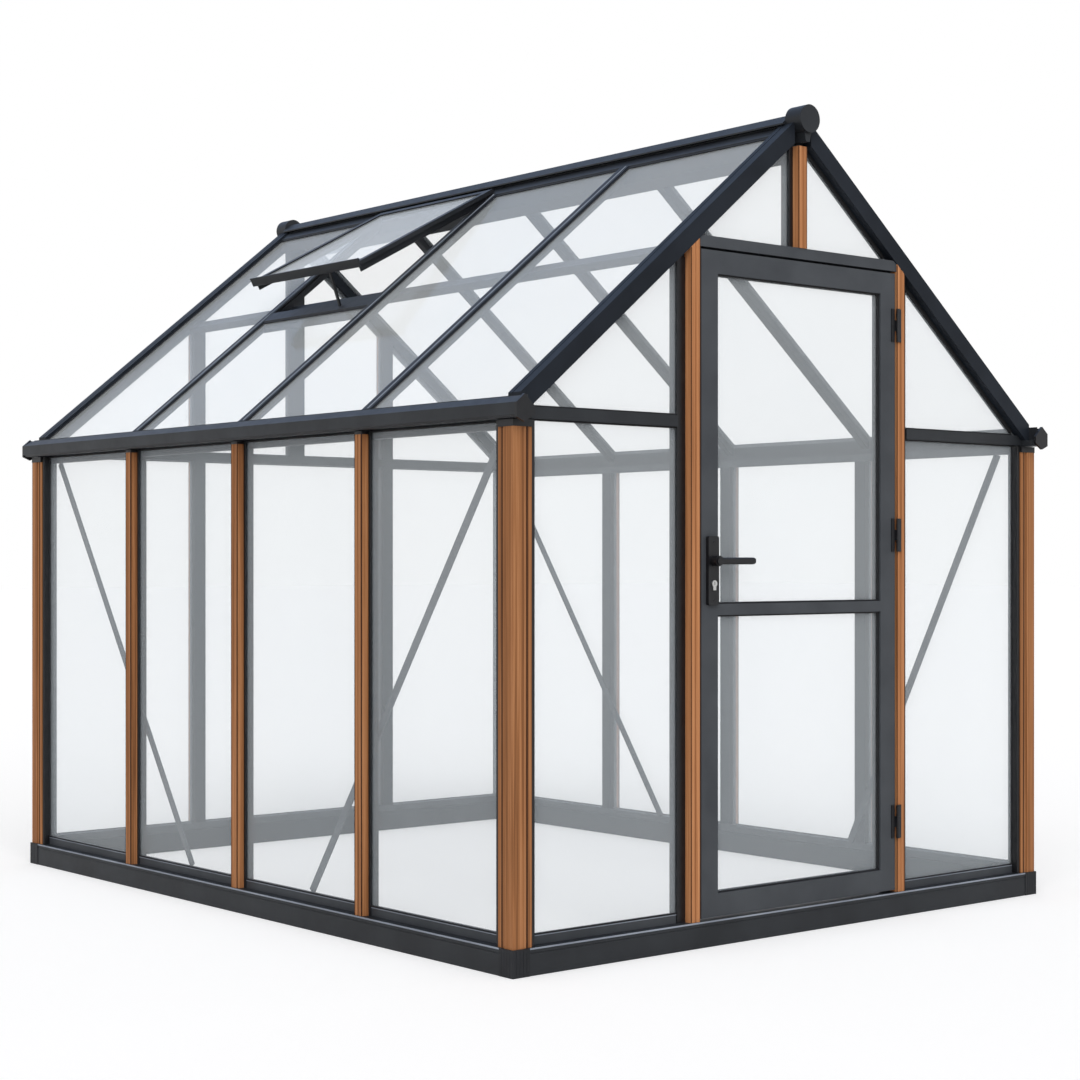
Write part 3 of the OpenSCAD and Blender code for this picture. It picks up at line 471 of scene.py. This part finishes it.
strip_out = POST_LINE + STRIP_HALF
jamb_cover = JAMB_OUT - strip_out
king_cover = KING_HALF - STRIP_HALF
jamb_runs = []
king_runs = []
back_runs = []
line_runs = []
for hand in (-1, 1):
    across = strip_out + jamb_cover / 2
    jamb_runs.append(upright_on_gable(-1, hand * across, cover_depth, SILL_TOP, under_rafter(JAMB_OUT)))
    for edge in (-1, 1):
        across = POST_LINE + edge * cover_mid
        top = under_rafter(across + cover_w / 2)
        back_runs.append(upright_on_gable(1, hand * across, cover_depth, SILL_TOP, top))
    for end, low in ((-1, LINTEL_TOP), (1, GABLE_RAIL_TOP)):
        across = hand * (STRIP_HALF + king_cover / 2)
        king_runs.append(upright_on_gable(end, across, cover_depth, low, KING_TOP))
        across = hand * edge_line_mid
        line_runs.append(upright_on_gable(end, across, edge_line_depth, low, KING_TOP))
        for edge in (-1, 1):
            across = POST_LINE + edge * edge_line_mid
            top = under_rafter(across + EDGE_LINE / 2)
            line_runs.append(upright_on_gable(end, hand * across, edge_line_depth, SILL_TOP, top))
lay_strips("jamb_covers", "house", black, jamb_runs, jamb_cover, COVER_T)
lay_strips("back_stud_covers", "house", black, back_runs, cover_w, COVER_T)
lay_strips("king_covers", "house", black, king_runs, king_cover, COVER_T)
# Dark lines along the edges of the gable strips are painted shade.
lay_strips("gable_edge_shade", "house", painted_arris_shade, line_runs, EDGE_LINE, EDGE_LINE)


def raked_on_gable(end, hand, first, last):
    y = end * (HALF_L - GASKET_MID)
    depth = RAFTER_T + RAKED_W / 2
    low, high = roof_height(last, depth), roof_height(first, depth)
    return (hand * first, y, high), (hand * last, y, low), (0, end, 0)


outer = HALF_W - LEG_END - CORNER_GASKET
under_slope = APEX - (RAFTER_T + RAKED_W) / math.cos(PITCH)
above = GABLE_RAIL_TOP + BEAD_W / 2
tip = (under_slope - above) / ROOF_TAN
head = LINTEL_TOP + BEAD_W / 2
head_tip = (under_slope - head) / ROOF_TAN
back_inner = POST_LINE - STUD_HALF
back_outer = POST_LINE + STUD_HALF
bead_and_highlight_runs = []
raked_runs = []
highlight_runs = []
for hand in (-1, 1):
    for end, first in ((-1, JAMB_OUT), (1, back_outer)):
        for height in (RAIL_LOW + BEAD_W / 2, GABLE_RAIL_LOW - BEAD_W / 2):
            bead_and_highlight_runs.append(level_on_gable(end, hand * first, hand * outer, GASKET_MID, height))
        bead_and_highlight_runs.append(level_on_gable(end, hand * first, hand * tip, GASKET_MID, above))
        raked_runs.append(raked_on_gable(end, hand, first, tip))
        highlight_runs.append(level_on_gable(end, hand * first, hand * outer, highlight_depth, highlight_height))
    bead_and_highlight_runs.append(level_on_gable(-1, hand * KING_HALF, hand * head_tip, GASKET_MID, head))
    raked_runs.append(raked_on_gable(-1, hand, KING_HALF + RAKED_W, head_tip))
    bead_and_highlight_runs.append(level_on_gable(1, hand * KING_HALF, hand * back_inner, GASKET_MID, above))
    raked_runs.append(raked_on_gable(1, hand, KING_HALF + RAKED_W, back_inner))
for height in (RAIL_LOW + BEAD_W / 2, GABLE_RAIL_LOW - BEAD_W / 2):
    bead_and_highlight_runs.append(level_on_gable(1, -back_inner, back_inner, GASKET_MID, height))
highlight_runs.append(level_on_gable(1, -back_inner, back_inner, highlight_depth, highlight_height))
lay_strips("gable_beads", "house", rubber, bead_and_highlight_runs, BEAD_W, GASKET_T)
lay_strips("rafter_gaskets", "house", rubber, raked_runs, RAKED_W, GASKET_T)
# The pale strips along the gables' bottom rails are painted highlight, as on the side walls.
lay_strips("gable_rail_highlights", "house", painted_highlight_coat, highlight_runs, RAIL_HIGHLIGHT_W, HIGHLIGHT_T, HIGHLIGHT_EDGE)

# Roof: rafters over the gables, a capped ridge with round ends, bars and a purlin between, and a
# gutter along each eave. The panes lie in the bars' slots, with a rubber strip along their edges.
ROOF_PANE = 11.25
ROOF_STRIP_T = 3
ROOF_STRIP_W = 5
BAR_HALF = 18
RAFTER_IN = 1149
FLANGE_END = 62
EAVE_END = 930
SILL_LOW = 502
BAR_TOP = 6
# Sizes of the pale strip on each roof bar's cap, which is painted highlight.
BAR_HIGHLIGHT_W = 4
BAR_HIGHLIGHT_T = 1.5
BAR_HIGHLIGHT_OFF = -6
BAR_HIGHLIGHT_EDGE = 0.4
ROOF_ALPHA = 0.19
RAFTER_GLOSS = 0.08
ROOF_GLASS_LOW = (0.90, 0.96, 1.0, 1)
ROOF_GLASS_HIGH = (0.94, 0.98, 1.0, 1)
RAFTER_DARK = (0.011, 0.0135, 0.018, 1)
RAFTER_LIGHT = (0.016, 0.0195, 0.026, 1)
rafter_coat = powder_coat("rafter_coat", RAFTER_DARK, RAFTER_LIGHT, RAFTER_GLOSS)
dress(rafter_coat, "gable_rafters")
dress(coat, "ridge_beam", "ridge_end_caps", "left_gutter", "right_gutter")
dress(coat, "left_roof_purlin")
dress(dark_coat, "roof_bars")
dress(black, "gutter_end_caps")
roof_glass = clear_glass("roof_glass", ROOF_ALPHA, ROOF_GLASS_LOW, ROOF_GLASS_HIGH)
dress(roof_glass, "left_roof_glass")
dress(wall_glass, "right_roof_glass")


def on_slope(hand, across, along, depth=ROOF_PANE - ROOF_STRIP_T / 2):
    return hand * across, along, roof_height(across, depth)


runs = []
bead_and_highlight_runs = []
bar_highlight_depth = BAR_TOP - BAR_HIGHLIGHT_T / 2
for hand in (-1, 1):
    facing = (hand * math.sin(PITCH), 0, math.cos(PITCH))
    for bay in range(4):
        first = -RAFTER_IN if bay == 0 else STUD_LINES[bay - 1] + BAR_HALF
        last = RAFTER_IN if bay == 3 else STUD_LINES[bay] - BAR_HALF
        top = SILL_LOW if hand < 0 and bay == 2 else FLANGE_END
        for along in (first + ROOF_STRIP_W / 2, last - ROOF_STRIP_W / 2):
            runs.append((on_slope(hand, top, along), on_slope(hand, EAVE_END, along), facing))
        head = top + ROOF_STRIP_W / 2
        inset = ROOF_STRIP_W
        runs.append((on_slope(hand, head, first + inset), on_slope(hand, head, last - inset), facing))
    for line in STUD_LINES:
        along = line + BAR_HIGHLIGHT_OFF
        ends = [on_slope(hand, across, along, bar_highlight_depth) for across in (FLANGE_END, EAVE_END)]
        bead_and_highlight_runs.append((*ends, facing))
# A pale strip along the cap of each roof bar is painted highlight, in the pale coat of the edge strips.
lay_strips("bar_highlights", "house", painted_highlight_coat, bead_and_highlight_runs, BAR_HIGHLIGHT_W, BAR_HIGHLIGHT_T, BAR_HIGHLIGHT_EDGE)
lay_strips("roof_gaskets", "house", rubber, runs, ROOF_STRIP_W, ROOF_STRIP_T)

# Roof vent: a framed pane rolled over a pin under the ridge's cap, closing on a sill between two bars
# and propped open on a black stay. A rubber strip holds the pane in its frame, which has a rim under
# each side and a drip rail along its lower edge.
VENT_HINGE = 56
VENT_OPEN = 11
VENT_FOOT = 476
VENT_SLOPE = PITCH - math.radians(VENT_OPEN)
VENT_BAR = 20
VENT_LEN = (VENT_FOOT - VENT_HINGE) / math.cos(PITCH)
VENT_SIDES = (8, 574.5)
VENT_PIN = roof_height(VENT_HINGE, -0.3)
VENT_STRIP_W = 4
VENT_STRIP_T = 4
VENT_PANE = 2
DRIP_H = 26
DRIP_T = 6
DRIP_RISE = 2
RIM_H = 20
RIM_T = 4
RIM_IN = 16
RIM_ENDS = (24, 1)
VENT_T = 12
VENT_ALPHA = 0.34
dress(dark_coat, "vent_sill", "vent_frame")
dress(black, "vent_stay")
vent_pane = clear_glass("vent_pane", VENT_ALPHA, ROOF_GLASS_LOW, ROOF_GLASS_HIGH)
dress(vent_pane, "vent_glass")


def on_vent(down, along, proud=VENT_PANE + VENT_STRIP_T / 2):
    across = VENT_HINGE + down * math.cos(VENT_SLOPE) + proud * math.sin(VENT_SLOPE)
    return -across, along, VENT_PIN - down * math.sin(VENT_SLOPE) + proud * math.cos(VENT_SLOPE)


inset = VENT_BAR + VENT_STRIP_W / 2
facing = (-math.sin(VENT_SLOPE), 0, math.cos(VENT_SLOPE))
near, far = VENT_SIDES[0] + VENT_BAR, VENT_SIDES[1] - VENT_BAR
runs = []
for down in (inset, VENT_LEN - inset):
    runs.append((on_vent(down, near), on_vent(down, far), facing))
for along in (near + VENT_STRIP_W / 2, far - VENT_STRIP_W / 2):
    ends = (VENT_BAR + VENT_STRIP_W, VENT_LEN - VENT_BAR - VENT_STRIP_W)
    runs.append((on_vent(ends[0], along), on_vent(ends[1], along), facing))
down = VENT_LEN + DRIP_T / 2
away = (-math.cos(VENT_SLOPE), 0, -math.sin(VENT_SLOPE))
drip_runs = [(on_vent(down, VENT_SIDES[0], DRIP_RISE), on_vent(down, VENT_SIDES[1], DRIP_RISE), away)]
rim_low = -VENT_T / 2 - RIM_H / 2
rim_runs = []
for along, outward in ((VENT_SIDES[0] + RIM_IN, -1), (VENT_SIDES[1] - RIM_IN, 1)):
    ends = [on_vent(down, along, rim_low) for down in (RIM_ENDS[0], VENT_LEN - RIM_ENDS[1])]
    rim_runs.append((*ends, (0, outward, 0)))
lay_strips("vent_rims", "house", dark_coat, rim_runs, RIM_H, RIM_T)
lay_strips("vent_drip_rail", "house", dark_coat, drip_runs, DRIP_H, DRIP_T)
lay_strips("vent_gasket", "house", rubber, runs, VENT_STRIP_W, VENT_STRIP_T)

# Door: stiles and rails with two panes in rubber gaskets, hung on three black hinges whose leaves are
# screwed to the stile and to the post.
STILE_IN = 301.5
DOOR_PANE = (21, 25)
DOOR_GASKET_W = 4
DOOR_GASKET_T = 8
PANE_HEIGHTS = ((127.5, 813), (841, 1655))
HINGE_HEIGHTS = (252.5, 1015.5, 1574)
HINGE_SCREWS = (-32, 0, 32)
DOOR_LEAF = (349, 5)
POST_LEAF = (373, 2)
SCREW_R = 2.6
SCREW_H = 1.0
HEAD_SIDES = 18
HEAD_TOP = 0.72
SOCKET_WIDTH = 0.6
SOCKET_DEPTH = 0.6
# The stiles and rails take the lighter copy of the coat: painted light for the sheen on the door's faces.
dress(painted_lit_coat, "door_stiles", "door_rails")
dress(wall_glass, "door_glass")
dress(black, "door_hinge_leaves", "post_hinge_leaves")

runs = []
for face, depth in ((-1, DOOR_PANE[0] - DOOR_GASKET_T / 2), (1, DOOR_PANE[1] + DOOR_GASKET_T / 2)):
    y = depth - HALF_L
    for low, high in PANE_HEIGHTS:
        side = STILE_IN - DOOR_GASKET_W / 2
        for height in (low + DOOR_GASKET_W / 2, high - DOOR_GASKET_W / 2):
            runs.append(((-STILE_IN, y, height), (STILE_IN, y, height), (0, face, 0)))
        for across in (-side, side):
            first, last = low + DOOR_GASKET_W, high - DOOR_GASKET_W
            runs.append(((across, y, first), (across, y, last), (0, face, 0)))
lay_strips("door_gaskets", "door", rubber, runs, DOOR_GASKET_W, DOOR_GASKET_T)


def screw_tree():
    tree, start, end = node_tree("screw_heads", "Radius", "Height")
    head = tree.nodes.new("GeometryNodeMeshCone")
    head.inputs["Vertices"].default_value = HEAD_SIDES
    narrow = tree.nodes.new("ShaderNodeMath")
    narrow.operation = "MULTIPLY"
    narrow.inputs[1].default_value = HEAD_TOP
    inner = tree.nodes.new("GeometryNodeExtrudeMesh")
    inner.inputs["Offset Scale"].default_value = 0.0
    recess = tree.nodes.new("GeometryNodeScaleElements")
    recess.inputs["Scale"].default_value = SOCKET_WIDTH
    sink = tree.nodes.new("ShaderNodeMath")
    sink.operation = "MULTIPLY"
    sink.inputs[1].default_value = -SOCKET_DEPTH
    socket = tree.nodes.new("GeometryNodeExtrudeMesh")
    turn = tree.nodes.new("FunctionNodeAlignRotationToVector")
    turn.axis = "Z"
    heads = tree.nodes.new("GeometryNodeInstanceOnPoints")
    tree.links.new(start.outputs["Radius"], head.inputs["Radius Bottom"])
    tree.links.new(start.outputs["Radius"], narrow.inputs[0])
    tree.links.new(narrow.outputs["Value"], head.inputs["Radius Top"])
    tree.links.new(start.outputs["Height"], head.inputs["Depth"])
    tree.links.new(head.outputs["Mesh"], inner.inputs["Mesh"])
    tree.links.new(head.outputs["Top"], inner.inputs["Selection"])
    tree.links.new(inner.outputs["Mesh"], recess.inputs["Geometry"])
    tree.links.new(inner.outputs["Top"], recess.inputs["Selection"])
    tree.links.new(recess.outputs["Geometry"], socket.inputs["Mesh"])
    tree.links.new(inner.outputs["Top"], socket.inputs["Selection"])
    tree.links.new(start.outputs["Height"], sink.inputs[0])
    tree.links.new(sink.outputs["Value"], socket.inputs["Offset Scale"])
    tree.links.new(outward_field(tree), turn.inputs["Vector"])
    tree.links.new(start.outputs["Geometry"], heads.inputs["Points"])
    tree.links.new(socket.outputs["Mesh"], heads.inputs["Instance"])
    tree.links.new(turn.outputs["Rotation"], heads.inputs["Rotation"])
    end_tree(tree, heads.outputs["Instances"], start, end)
    return tree


SCREW_HEADS = screw_tree()


def set_screws(name, body, finish, places, radius, height):
    points = [point for point, outward in places]
    outwards = [outward for point, outward in places]
    values = {"Radius": radius * MM, "Height": height * MM, "Finish": finish}
    make_piece(name, body, points, [], outwards, SCREW_HEADS, values)


leaves = (("door_leaf_screws", "door", DOOR_LEAF), ("post_leaf_screws", "house", POST_LEAF))
for name, body, (across, depth) in leaves:
    places = []
    for height in HINGE_HEIGHTS:
        for offset in HINGE_SCREWS:
            places.append(((across, depth - HALF_L, height + offset), (0, -1, 0)))
    set_screws(name, body, black, places, SCREW_R, SCREW_H)

# Handles: a black plate and lever on each face of the lock stile, on one spindle, with a steel lock
# cylinder below. Two screws go through both plates, and a thin black strip on each cylinder face is
# painted shade standing in for the keyway slot.
SPINDLE_X = -325
PLATE_FACES = ((-1, -2), (1, 48))
PLATE_SCREWS = (851, 995)
CYLINDER_FACES = ((-1, -5), (1, 51))
KEYWAY = (888, 896)
KEYWAY_W = 1.6
KEYWAY_T = 0.4
KEYWAY_EDGE = 0.1
PLATE_SCREW_R = 3.2
PLATE_SCREW_H = 1.2
STEEL_DARK = (0.45, 0.45, 0.44, 1)
STEEL_LIGHT = (0.65, 0.65, 0.63, 1)
STEEL_STREAK = (300, 300, 3000)
STEEL_ROUGH = 0.3


def brushed_steel():
    finish, tree, shader = new_finish("brushed_steel")
    streak = noise(tree, STEEL_STREAK, 2.0)
    tone = ramp(tree, streak, [(0.3, STEEL_DARK), (0.7, STEEL_LIGHT)])
    tree.links.new(tone, shader.inputs["Base Color"])
    shader.inputs["Metallic"].default_value = 1.0
    shader.inputs["Roughness"].default_value = STEEL_ROUGH
    return finish


steel = brushed_steel()
dress(black, "handle_plates", "lever_grips", "lever_spindle")
dress(steel, "lock_cylinders")
places = []
for face, depth in PLATE_FACES:
    for height in PLATE_SCREWS:
        places.append(((SPINDLE_X, depth - HALF_L, height), (0, face, 0)))
set_screws("plate_screws", "door", black, places, PLATE_SCREW_R, PLATE_SCREW_H)
# A thin black strip on each cylinder face is painted shade for the keyway slot.
runs = []
for face, depth in CYLINDER_FACES:
    y = depth - HALF_L
    runs.append(((SPINDLE_X, y, KEYWAY[0]), (SPINDLE_X, y, KEYWAY[1]), (0, face, 0)))
lay_strips("keyway_shade", "door", black, runs, KEYWAY_W, KEYWAY_T, KEYWAY_EDGE)

# Floor and light: a pale studio floor that runs out to white, soft light from all round and one broad
# lamp from the front left.
FLOOR_HALF = 60.0
FLOOR_DROP = 0.0005
FLOOR_GREY = (0.86, 0.86, 0.87, 1)
FLOOR_ROUGH = 0.55
FLOOR_LIFT = 0.225
SKY_DIFFUSE = 0.5
WHITE = (1, 1, 1, 1)
HIGH_BLUE = (0.52, 0.68, 1.0, 1)
WHITE_UP_TO = 0.28
BLUE_FROM = 0.5
LAMP_POWER = 2.2
LAMP_WIDTH = 1.0
LAMP_AIM = (0.5, 0.65, -0.58)


def pale_floor():
    finish, tree, shader = new_finish("pale_floor")
    shader.inputs["Base Color"].default_value = FLOOR_GREY
    shader.inputs["Roughness"].default_value = FLOOR_ROUGH
    shader.inputs["Specular IOR Level"].default_value = 0.0
    path = tree.nodes.new("ShaderNodeLightPath")
    shader.inputs["Emission Color"].default_value = WHITE
    lift = tree.nodes.new("ShaderNodeMath")
    lift.operation = "MULTIPLY"
    lift.inputs[1].default_value = FLOOR_LIFT
    tree.links.new(path.outputs["Is Camera Ray"], lift.inputs[0])
    tree.links.new(lift.outputs["Value"], shader.inputs["Emission Strength"])
    return finish


floor_mesh = bpy.data.meshes.new("floor")
corners = [(x * FLOOR_HALF, y * FLOOR_HALF, -FLOOR_DROP) for x, y in ((-1, -1), (1, -1), (1, 1), (-1, 1))]
floor_mesh.from_pydata(corners, [], [(0, 1, 2, 3)])
floor_mesh.materials.append(pale_floor())
floor = bpy.data.objects.new("floor", floor_mesh)
bpy.context.scene.collection.objects.link(floor)

world = bpy.data.worlds.new("studio")
bpy.context.scene.world = world
world.use_nodes = True
sky = world.node_tree
sky.nodes.clear()
place = sky.nodes.new("ShaderNodeTexCoord")
height = sky.nodes.new("ShaderNodeSeparateXYZ")
sky.links.new(place.outputs["Generated"], height.inputs["Vector"])
seen = sky.nodes.new("ShaderNodeBackground")
stops = [(WHITE_UP_TO, WHITE), (BLUE_FROM, HIGH_BLUE)]
sky.links.new(ramp(sky, height.outputs["Z"], stops), seen.inputs["Color"])
soft = sky.nodes.new("ShaderNodeBackground")
soft.inputs["Color"].default_value = WHITE
soft.inputs["Strength"].default_value = SKY_DIFFUSE
path = sky.nodes.new("ShaderNodeLightPath")
direct = path.outputs["Is Camera Ray"]
for ray in ("Is Glossy Ray", "Is Transmission Ray"):
    either = sky.nodes.new("ShaderNodeMath")
    either.operation = "MAXIMUM"
    sky.links.new(direct, either.inputs[0])
    sky.links.new(path.outputs[ray], either.inputs[1])
    direct = either.outputs["Value"]
mix = sky.nodes.new("ShaderNodeMixShader")
sky.links.new(direct, mix.inputs["Fac"])
sky.links.new(soft.outputs["Background"], mix.inputs[1])
sky.links.new(seen.outputs["Background"], mix.inputs[2])
output = sky.nodes.new("ShaderNodeOutputWorld")
sky.links.new(mix.outputs["Shader"], output.inputs["Surface"])

lamp_data = bpy.data.lights.new("window_light", "SUN")
lamp_data.energy = LAMP_POWER
lamp_data.angle = LAMP_WIDTH
lamp = bpy.data.objects.new("window_light", lamp_data)
lamp.rotation_euler = Vector(LAMP_AIM).to_track_quat("-Z", "Y").to_euler()
bpy.context.scene.collection.objects.link(lamp)

# Camera: level, a little under eye height, off the front left corner, with the lens and the framing
# that the photograph has.
IMAGE = 1080
FOCAL_PX = 2114.8
HORIZON_ROW = 559.7
YAW = 0.69502
SENSOR = 36
STAND = (-3.978, -4.916, 0.950)
camera_data = bpy.data.cameras.new("camera")
camera_data.sensor_width = SENSOR
camera_data.lens = FOCAL_PX * SENSOR / IMAGE
camera_data.shift_y = (HORIZON_ROW - IMAGE / 2) / IMAGE
camera = bpy.data.objects.new("camera", camera_data)
camera.location = STAND
camera.rotation_euler = (math.pi / 2, 0, -YAW)
bpy.context.scene.collection.objects.link(camera)
bpy.context.scene.camera = camera
bpy.context.scene.view_settings.view_transform = "Standard"
